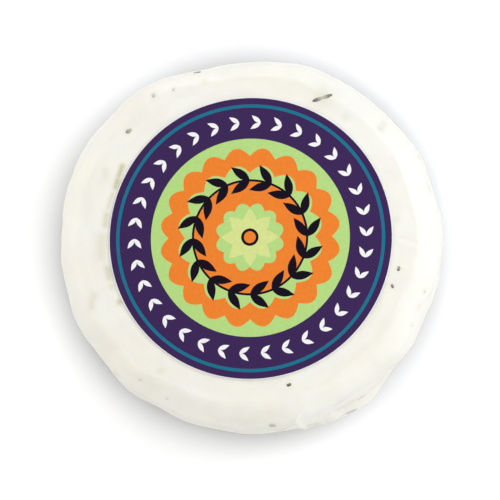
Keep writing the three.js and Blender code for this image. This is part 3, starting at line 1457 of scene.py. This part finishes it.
    def build(self, kind: FlakeKind, tree: BVHTree) -> bpy.types.Object:
        """Makes the piece of one kind of herb.

        Args:
            kind: The kind.
            tree: The surface of the cheese, in millimetres.

        Returns:
            The piece.
        """
        points = []
        faces = []
        veils = []
        for flake in self.flakes():
            if flake.kind is kind:
                self.add_flake(flake, tree, points, faces)
                veils += self.veils(flake) * 2
        piece = mesh_object(kind.value, np.array([tuple(p) for p in points]), faces)
        layer = piece.data.attributes.new("veil", "FLOAT", "POINT")
        layer.data.foreach_set("value", veils)
        return piece

    def add_flake(
        self,
        flake: Flake,
        tree: BVHTree,
        points: list[Vector],
        faces: list[tuple[int, ...]],
    ) -> None:
        """Adds one closed flake to a list of points and faces.

        Args:
            flake: The flake.
            tree: The surface of the cheese, in millimetres.
            points: The points so far.
            faces: The faces so far.
        """
        upper, lower = self.flake_points(flake, tree)
        first = len(points)
        under = first + len(upper)
        points.extend(upper)
        points.extend(lower)
        wide = self.columns + 1
        for row in range(self.rows):
            for column in range(self.columns):
                a = row * wide + column
                quad = (a, a + wide, a + wide + 1, a + 1)
                faces.append(tuple(first + corner for corner in quad))
                faces.append(tuple(under + corner for corner in reversed(quad)))
        rim = list(range(wide))
        rim += [row * wide + self.columns for row in range(1, self.rows + 1)]
        rim += [self.rows * wide + column for column in range(self.columns - 1, -1, -1)]
        rim += [row * wide for row in range(self.rows - 1, 0, -1)]
        for here, there in zip(rim, rim[1:] + rim[:1]):
            faces.append((first + here, first + there, under + there, under + here))

    def dress(self, piece: bpy.types.Object, kind: FlakeKind) -> None:
        """Gives a kind of herb its finish and sets it on the part.

        Args:
            piece: The piece of that kind.
            kind: The kind.
        """
        finish = self.leaf_finish if kind is FlakeKind.LEAF else self.chip_finish
        piece.data.materials.append(finish.material())
        place_piece(piece, "wrapped_cheese")


@dataclass
class StainAndShadeMap:
    """Smudges of herb and other olive marks on the cheese, and painted shade on the creases and the lip of
    its film, laid on its surface.
    """

    form: CheeseForm
    tree: BVHTree
    flake_strength: float = 0.16
    # Places across and along
    top_lines: tuple[StainAndShadeRow, ...] = (
        (((-30.3, -10.5), (-30.7, -13.0)), 0.8, 0.16),
        (((-16.9, -25.7),), 0.8, 0.14),
        (((33.7, -13.1),), 0.9, 0.12),
        (((29.7, 3.9),), 0.7, 0.10),
        (((-28.1, 14.3), (-27.9, 12.9)), 0.8, 0.12),
        (((-8.3, 31.9),), 0.7, 0.12),
        (((19.7, 24.2),), 0.8, 0.12),
        (((26.5, 21.9), (27.2, 23.4)), 0.9, 0.16),
        (((13.2, -34.1),), 1.3, 0.10),
        (((-6.0, -35.2), (2.5, -35.5)), 1.3, 0.07),
        # A crescent of olive marks along the left edge of the label
        (((-24.7, 15.2), (-25.4, 13.2)), 0.55, 0.48),
        (((-25.6, 12.4), (-26.0, 11.0)), 0.60, 0.50),
        (((-26.6, 9.6), (-27.5, 6.8)), 0.45, 0.23),
        (((-27.8, 5.4), (-28.1, 3.4)), 0.65, 0.28),
        (((-28.7, 0.8), (-28.8, -3.0)), 1.1, 0.18),
        (((-27.5, -5.4), (-27.1, -7.0)), 0.75, 0.31),
        (((-26.6, -8.8),), 0.65, 0.23),
        (((-25.1, -12.0),), 0.65, 0.43),
    )
    # Angles in degrees and heights: a broad faint olive band across the front of the shoulder, and two olive
    # patches near the lip
    wall_lines: tuple[StainAndShadeRow, ...] = (
        (((-97.0, 16.5), (-82.0, 15.5)), 3.2, 0.09),
        (((-62.9, 11.8),), 0.9, 0.12),
        (((-70.1, 9.2),), 0.9, 0.25),
    )
    # Angles in degrees and heights of painted shade: on the lip, in the crease above it in two parts, and in
    # the slit and its core
    painted_fold_shade_lines: tuple[StainAndShadeRow, ...] = (
        (
            ((-66.0, 9.5), (-62.5, 9.0), (-58.5, 8.7), (-54.5, 8.6), (-50.5, 8.4), (-46.5, 7.9)),
            1.6,
            0.10,
        ),
        (((-55.2, 9.02), (-53.9, 8.98), (-52.6, 8.92)), 0.36, 0.38),
        (((-52.6, 8.92), (-51.2, 8.84), (-49.8, 8.72), (-48.4, 8.56)), 0.36, 0.22),
        (((-62.6, 8.48), (-61.0, 8.32), (-57.1, 8.21)), 0.42, 0.28),
        (((-60.3, 8.29), (-57.9, 8.24)), 0.42, 0.60),
    )
    wall_smudges: int = 40
    wall_levels: Point = (2.5, 21.0)
    wall_reaches: Point = (0.6, 1.2)
    wall_strength: float = 0.16
    first_turn: float = 0.21
    reach_step: float = 0.37

    def on_top(self, x: float, y: float) -> Place:
        """The place on the surface straight below a point."""
        place, _, _, _ = self.tree.ray_cast(Vector((x, y, RAY_HEIGHT)), Vector(DOWN))
        return tuple(place)

    def on_wall(self, degrees: float, height: float) -> Place:
        """The place on the wall at an angle and a height.

        Args:
            degrees: Angle round the outline.
            height: Height above the base.

        Returns:
            The place.
        """
        turn = math.radians(degrees)
        out = Vector((math.cos(turn), math.sin(turn), 0.0))
        start = out * RAY_REACH + Vector((self.form.shift[0], self.form.shift[1], height))
        place, _, _, _ = self.tree.ray_cast(start, -out)
        return tuple(place)

    def smudges(self, flakes: list[Flake]) -> tuple[StainAndShade, ...]:
        """Smudges: one of herb round every flake, the listed olive marks on the top and the wall, and herb
        that lies deeper, spread round the wall.

        Args:
            flakes: The flakes.

        Returns:
            The smudges.
        """
        soft_marks = []
        for flake in flakes:
            place, _, _, _ = self.tree.ray_cast(Vector(flake.start), Vector(flake.way))
            soft_marks.append(StainAndShade((tuple(place),), 0.5 * flake.length, self.flake_strength))
        for row, reach, strength in self.top_lines:
            soft_marks.append(StainAndShade(tuple(self.on_top(*spot) for spot in row), reach, strength))
        for row, reach, strength in self.wall_lines:
            soft_marks.append(StainAndShade(tuple(self.on_wall(*spot) for spot in row), reach, strength))
        for i in range(self.wall_smudges):
            degrees = 360.0 * ((i * GOLDEN_RATIO + self.first_turn) % 1.0)
            height = between(self.wall_levels, (i * SILVER_RATIO) % 1.0)
            reach = between(self.wall_reaches, (i * self.reach_step) % 1.0)
            soft_marks.append(StainAndShade((self.on_wall(degrees, height),), reach, self.wall_strength))
        return tuple(soft_marks)

    def painted_fold_shades(self) -> tuple[StainAndShade, ...]:
        """Painted shade on the lip, in the crease above it and in the slit at its edge.

        Returns:
            The lines of painted shade, each straight from one point to the next.
        """
        soft_marks = []
        for row, reach, strength in self.painted_fold_shade_lines:
            spots = [self.on_wall(*spot) for spot in row]
            for stretch in zip(spots[:-1], spots[1:]):
                soft_marks.append(StainAndShade(stretch, reach, strength))
        return tuple(soft_marks)


@dataclass(frozen=True)
class PrintShape:
    """A filled shape on the label, in shares of the label's radius."""

    ink: Ink
    outline: np.ndarray

    def covers(self, spots: np.ndarray) -> np.ndarray:
        """Tells which spots lie inside the shape.

        Args:
            spots: Rows of x and y.

        Returns:
            True for each spot inside.
        """
        inside = np.zeros(len(spots), dtype=bool)
        x = spots[:, 0]
        y = spots[:, 1]
        ends = np.roll(self.outline, -1, axis=0)
        for (x0, y0), (x1, y1) in zip(self.outline, ends):
            if y0 == y1:
                continue
            crosses = (y0 > y) != (y1 > y)
            inside ^= crosses & (x < (x1 - x0) * (y - y0) / (y1 - y0) + x0)
        return inside


@dataclass
class PaperLabel:
    """The round paper label: purple border with a teal line and a ring of leaflets, and a rosette inside."""

    form: CheeseForm
    thickness: float = 0.08
    lift: float = 0.02
    rim_steps: int = 240
    ring_steps: int = 160
    field_steps: int = 128
    wreath_steps: int = 96
    heart_steps: int = 40
    lobe_steps: int = 10
    leaf_steps: int = 9
    leaf_belly: float = 0.85
    leaf_lean: float = 0.62
    paper_edge: float = 1.006
    edge_slack: float = 0.0005
    line_outer: float = 0.9535
    line_inner: float = 0.9298
    leaflet_ring: float = 0.822
    leaflet_pairs: int = 34
    leaflet_length: float = 0.085
    leaflet_width: float = 0.032
    field_radius: float = 0.705
    # Ink, radius, depth of the notches and number of lobes
    scallops: tuple[tuple[Ink, float, float, int], ...] = (
        (Ink.ORANGE, 0.640, 0.060, 20),
        (Ink.GREEN, 0.515, 0.055, 16),
        (Ink.ORANGE, 0.300, 0.045, 12),
    )
    wreath_ring: float = 0.405
    wreath_pairs: int = 16
    wreath_length: float = 0.165
    wreath_width: float = 0.062
    stem_half: float = 0.008
    # Radius, depth of the notches and number of lobes
    flower: tuple[float, float, int] = (0.245, 0.035, 12)
    petals: int = 8
    petal_length: float = 0.175
    petal_width: float = 0.10
    petal_root: float = 0.03
    heart_outer: float = 0.062
    heart_inner: float = 0.042
    grid_step: float = 0.0455
    grid_row: float = 0.866
    grid_edge: float = 0.985
    join_slack: float = 1e-5

    @staticmethod
    def disc(ink: Ink, radius: float, steps: int) -> PrintShape:
        """A plain disc.

        Args:
            ink: Its ink.
            radius: Its radius.
            steps: Corners round it.

        Returns:
            The shape.
        """
        angle = np.linspace(0, 2 * math.pi, steps, endpoint=False)
        return PrintShape(ink, radius * np.stack([np.cos(angle), np.sin(angle)], axis=1))

    def scalloped(self, ink: Ink, radius: float, depth: float, lobes: int) -> PrintShape:
        """A disc with a scalloped edge.

        Args:
            ink: Its ink.
            radius: Radius at the crest of a lobe.
            depth: Depth of the notch between lobes.
            lobes: Number of lobes.

        Returns:
            The shape.
        """
        angle = np.linspace(0, 2 * math.pi, lobes * self.lobe_steps, endpoint=False)
        reach = radius - depth * (1.0 - np.abs(np.sin(lobes * angle / 2)))
        return PrintShape(ink, np.stack([reach * np.cos(angle), reach * np.sin(angle)], axis=1))

    def leaf(self, ink: Ink, root: Point, heading: float, length: float, width: float) -> PrintShape:
        """A pointed leaf or petal.

        Args:
            ink: Its ink.
            root: Where its stalk end lies.
            heading: Its direction in radians.
            length: Its length.
            width: Its greatest width.

        Returns:
            The shape.
        """
        along = np.linspace(0.0, 1.0, self.leaf_steps)
        half = 0.5 * width * np.sin(math.pi * along**self.leaf_belly)
        far = np.concatenate([along, along[-2:0:-1]]) * length
        off = np.concatenate([half, -half[-2:0:-1]])
        x = root[0] + far * math.cos(heading) - off * math.sin(heading)
        y = root[1] + far * math.sin(heading) + off * math.cos(heading)
        return PrintShape(ink, np.stack([x, y], axis=1))

    def leaf_ring(self, ink: Ink, ring: float, pairs: int, length: float, width: float) -> list[PrintShape]:
        """Leaves in pairs along a ring, one to each side of it.

        Args:
            ink: Their ink.
            ring: Radius of the ring.
            pairs: Number of pairs.
            length: Length of a leaf.
            width: Width of a leaf.

        Returns:
            The shapes.
        """
        shapes = []
        for i in range(pairs):
            angle = 2 * math.pi * i / pairs
            root = (ring * math.cos(angle), ring * math.sin(angle))
            for lean in (self.leaf_lean, -self.leaf_lean):
                heading = angle + math.pi / 2 + lean
                shapes.append(self.leaf(ink, root, heading, length, width))
        return shapes

    def shapes(self) -> list[PrintShape]:
        """The print, from the lowest ink to the topmost.

        Returns:
            The shapes in the order they are laid down.
        """
        layers = [
            self.disc(Ink.WHITE, self.paper_edge, self.rim_steps),
            self.disc(Ink.PURPLE, 1.0, self.rim_steps),
            self.disc(Ink.TEAL, self.line_outer, self.ring_steps),
            self.disc(Ink.PURPLE, self.line_inner, self.ring_steps),
        ]
        layers += self.leaf_ring(
            Ink.WHITE,
            self.leaflet_ring,
            self.leaflet_pairs,
            self.leaflet_length,
            self.leaflet_width,
        )
        layers.append(self.disc(Ink.GREEN, self.field_radius, self.field_steps))
        for ink, radius, depth, lobes in self.scallops:
            layers.append(self.scalloped(ink, radius, depth, lobes))
        layers.append(self.disc(Ink.DARK, self.wreath_ring + self.stem_half, self.wreath_steps))
        layers.append(self.disc(Ink.ORANGE, self.wreath_ring - self.stem_half, self.wreath_steps))
        layers += self.leaf_ring(
            Ink.DARK,
            self.wreath_ring,
            self.wreath_pairs,
            self.wreath_length,
            self.wreath_width,
        )
        layers.append(self.scalloped(Ink.GREEN, *self.flower))
        for i in range(self.petals):
            heading = 2 * math.pi * i / self.petals
            root = (self.petal_root * math.cos(heading), self.petal_root * math.sin(heading))
            layers.append(self.leaf(Ink.CREAM, root, heading, self.petal_length, self.petal_width))
        layers.append(self.disc(Ink.DARK, self.heart_outer, self.heart_steps))
        layers.append(self.disc(Ink.ORANGE, self.heart_inner, self.heart_steps))
        return layers

    def spread(self, shapes: list[PrintShape]) -> tuple[np.ndarray, np.ndarray]:
        """Cuts the label into triangles along the edges of the print.

        Args:
            shapes: The print.

        Returns:
            Corners as rows of x and y in shares of the radius, and the triangles' corner numbers.
        """
        corners = []
        edges = []
        for shape in shapes:
            first = len(corners)
            count = len(shape.outline)
            corners.extend(Vector(p) for p in shape.outline.tolist())
            edges.extend((first + i, first + (i + 1) % count) for i in range(count))
        steps = int(1.0 / self.grid_step) + 1
        for i in range(-steps, steps + 1):
            for j in range(-steps, steps + 1):
                x = (i + 0.5 * (j % 2)) * self.grid_step
                y = j * self.grid_step * self.grid_row
                if math.hypot(x, y) < self.grid_edge:
                    corners.append(Vector((x, y)))
        spots, _, triangles, _, _, _ = delaunay_2d_cdt(corners, edges, [], 0, self.join_slack)
        return np.array([tuple(p) for p in spots]), np.array(triangles)

    def build(self) -> tuple[bpy.types.Object, list[Ink]]:
        """Makes the label as a thin closed sheet that follows the top.

        Returns:
            The label and the ink of each of its faces.
        """
        shapes = self.shapes()
        spots, triangles = self.spread(shapes)
        centres = spots[triangles].mean(axis=1)
        painted = np.zeros(len(triangles), dtype=int)
        for number, shape in enumerate(shapes):
            painted[shape.covers(centres)] = number
        x = spots[:, 0] * self.form.label_radius + self.form.label_centre[0]
        y = spots[:, 1] * self.form.label_radius + self.form.label_centre[1]
        ground = self.form.top_height(x, y) + self.lift
        upper = np.stack([x, y, ground + self.thickness], axis=1)
        lower = np.stack([x, y, ground], axis=1)
        count = len(spots)
        faces = [tuple(row) for row in triangles.tolist()]
        inks = [shapes[number].ink for number in painted]
        faces += [tuple(count + corner for corner in reversed(row)) for row in triangles.tolist()]
        inks += [Ink.WHITE] * len(triangles)
        angle = np.arctan2(spots[:, 1], spots[:, 0])
        reach = np.hypot(spots[:, 0], spots[:, 1])
        rim = [i for i in np.argsort(angle).tolist() if reach[i] > self.paper_edge - self.edge_slack]
        for here, there in zip(rim, rim[1:] + rim[:1]):
            faces.append((here, count + here, count + there, there))
            inks.append(Ink.WHITE)
        return mesh_object("label_print", np.concatenate([upper, lower]), faces), inks

    def dress(self, piece: bpy.types.Object, inks: list[Ink]) -> None:
        """Gives every face of the label its ink and sets it on the part.

        Args:
            piece: The label.
            inks: The ink of each face.
        """
        order = list(Ink)
        for ink in order:
            piece.data.materials.append(PaperFinish(ink).material())
        piece.data.polygons.foreach_set("material_index", [order.index(ink) for ink in inks])
        piece.data.update()
        place_piece(piece, "label")


@dataclass(frozen=True)
class Lamp:
    """A square soft light that faces the part: its way in degrees, distance, side, watts and tint."""

    name: str
    azimuth: float
    elevation: float
    distance: float
    side: float
    power: float
    tint: Colour = WHITE

    def build(self) -> None:
        """Hangs the light."""
        turn = math.radians(self.azimuth)
        rise = math.radians(self.elevation)
        level = math.cos(rise)
        way = Vector((level * math.cos(turn), level * math.sin(turn), math.sin(rise)))
        light = bpy.data.lights.new(self.name, "AREA")
        light.energy = self.power
        light.color = self.tint
        light.size = self.side * MM
        stand = bpy.data.objects.new(self.name, light)
        stand.location = way * self.distance * MM
        stand.rotation_euler = way.to_track_quat("Z", "Y").to_euler()
        bpy.context.scene.collection.objects.link(stand)


@dataclass
class Studio:
    """Pale floor that carries painted light and a painted shadow round the cheese, soft light and the
    camera.
    """

    floor_reach: float = 900.0
    floor_drop: float = 0.15
    floor_colour: Colour = (0.597, 0.6, 0.617)
    floor_roughness: float = 0.9
    # Painted light on the floor: emission that is nothing within the inner radius of a point beside the
    # cheese and full beyond the outer radius, which paints the soft shadow round the cheese; the last value
    # is the share of it that lights other surfaces
    painted_shadow_middle: Place = (-2.1, 2.0, 0.0)
    painted_shadow_inner: float = 37.4
    painted_shadow_outer: float = 47.6
    painted_glow: float = 0.51
    painted_glow_unseen: float = 0.415
    sky: float = 0.42
    # Name, azimuth, elevation, distance, side, watts and tint
    lamps: tuple[Lamp, ...] = (
        Lamp("right", 26.0, 36.0, 430.0, 260.0, 0.86, (0.93, 0.955, 1.0)),
        Lamp("left", 175.0, 23.0, 850.0, 800.0, 3.95, (1.0, 0.985, 0.92)),
        Lamp("back", 100.0, 25.0, 700.0, 450.0, 1.18),
        Lamp("front", -65.0, 35.0, 600.0, 400.0, 1.02, (1.0, 0.985, 0.93)),
        Lamp("low", -42.0, 10.0, 600.0, 300.0, 0.53, (0.95, 0.97, 1.0)),
    )
    aim: Place = (-0.59, -0.02, 10.0)
    tilt: float = 9.0
    heading: float = 35.0
    distance: float = 600.0
    lens: float = 214.0
    sensor: float = 36.0
    clip_near: float = 10.0

    def build(self) -> None:
        """Sets up the floor, the light and the camera."""
        self.floor()
        self.lights()
        self.camera()

    def floor(self) -> None:
        """Lays the floor, a pale sheet with painted light: it emits, with no lamp behind it, from nothing
        close round the cheese to full further out, which paints a soft shadow round the cheese.
        """
        reach = self.floor_reach
        drop = -self.floor_drop
        near = [(-reach, -reach, drop), (reach, -reach, drop)]
        far = [(reach, reach, drop), (-reach, reach, drop)]
        plane = mesh_object("floor", np.array(near + far), [(0, 1, 2, 3)])
        material, board = new_material("pale_floor")
        shader = board.solid(self.floor_roughness)
        shader.inputs["Base Color"].default_value = (*self.floor_colour, 1.0)
        shader.inputs["Specular IOR Level"].default_value = 0.0
        shader.inputs["Emission Color"].default_value = (*WHITE, 1.0)
        # Painted light and shadow: emission that is nothing within the inner radius and rises, easing out,
        # to full at the outer; the camera sees all of it, other rays a share
        place = board.add("ShaderNodeNewGeometry")
        away = board.add("ShaderNodeVectorMath", operation="DISTANCE")
        away.inputs[1].default_value = Vector(self.painted_shadow_middle) * MM
        ramp = board.add("ShaderNodeMapRange")
        ramp.inputs["From Min"].default_value = self.painted_shadow_inner * MM
        ramp.inputs["From Max"].default_value = self.painted_shadow_outer * MM
        ramp.inputs["To Min"].default_value = 1.0
        ramp.inputs["To Max"].default_value = 0.0
        ease = board.add("ShaderNodeMath", operation="MULTIPLY")
        level = board.add("ShaderNodeMath", operation="MULTIPLY_ADD")
        level.inputs[1].default_value = -self.painted_glow
        level.inputs[2].default_value = self.painted_glow
        path = board.add("ShaderNodeLightPath")
        share = board.add("ShaderNodeMath", operation="MAXIMUM")
        share.inputs[1].default_value = self.painted_glow_unseen
        seen = board.add("ShaderNodeMath", operation="MULTIPLY")
        board.join(place.outputs["Position"], away.inputs[0])
        board.join(away.outputs["Value"], ramp.inputs["Value"])
        board.join(ramp.outputs["Result"], ease.inputs[0])
        board.join(ramp.outputs["Result"], ease.inputs[1])
        board.join(ease.outputs[0], level.inputs[0])
        board.join(path.outputs["Is Camera Ray"], share.inputs[0])
        board.join(level.outputs[0], seen.inputs[0])
        board.join(share.outputs[0], seen.inputs[1])
        board.join(seen.outputs[0], shader.inputs["Emission Strength"])
        plane.data.materials.append(material)

    def lights(self) -> None:
        """Sets an even sky and the lamps."""
        scene = bpy.context.scene
        world = bpy.data.worlds.new("studio_sky")
        world.use_nodes = True
        back = world.node_tree.nodes["Background"]
        back.inputs["Color"].default_value = (*WHITE, 1.0)
        back.inputs["Strength"].default_value = self.sky
        scene.world = world
        for lamp in self.lamps:
            lamp.build()

    def camera(self) -> None:
        """Sets the camera nearly straight above, with the label upright."""
        scene = bpy.context.scene
        tilt = math.radians(self.tilt)
        heading = math.radians(self.heading)
        level = math.sin(tilt)
        back = Vector((level * math.sin(heading), -level * math.cos(heading), math.cos(tilt)))
        right = Vector((0.0, 1.0, 0.0)).cross(back).normalized()
        up = back.cross(right)
        lens = bpy.data.cameras.new("camera")
        lens.lens = self.lens
        lens.sensor_width = self.sensor
        lens.clip_start = self.clip_near * MM
        camera = bpy.data.objects.new("camera", lens)
        place = (Vector(self.aim) + back * self.distance) * MM
        turn = Matrix((right, up, back)).transposed().to_4x4()
        camera.matrix_world = Matrix.Translation(place) @ turn
        scene.collection.objects.link(camera)
        scene.camera = camera
        scene.view_settings.view_transform = "Standard"


def report(piece: bpy.types.Object) -> None:
    """Says that a piece is made, and how many faces it has."""
    LOG.info("%s: %d faces", piece.name, len(piece.data.polygons))


def main() -> None:
    """Builds the round, its herbs, its film and its label, and the studio round them."""
    logging.basicConfig(level=logging.INFO, format="%(message)s")
    form = CheeseForm()
    wrapped = WrappedRound(form, RoundGrid(form))
    cheese, film = wrapped.build(wrapped.relief())
    tree = surface_tree(cheese)
    herbs = HerbScatter(form)
    soft_marks = StainAndShadeMap(form, tree)
    wrapped.soft_marks = soft_marks.smudges(herbs.flakes())
    # Lines of painted shade on the creases and the lip of the film
    wrapped.painted_fold_shades = soft_marks.painted_fold_shades()
    wrapped.dress(cheese, film)
    report(cheese)
    report(film)
    for kind in FlakeKind:
        piece = herbs.build(kind, tree)
        herbs.dress(piece, kind)
        report(piece)
    label = PaperLabel(form)
    sheet, inks = label.build()
    label.dress(sheet, inks)
    report(sheet)
    Studio().build()


if __name__ == "__main__":
    main()
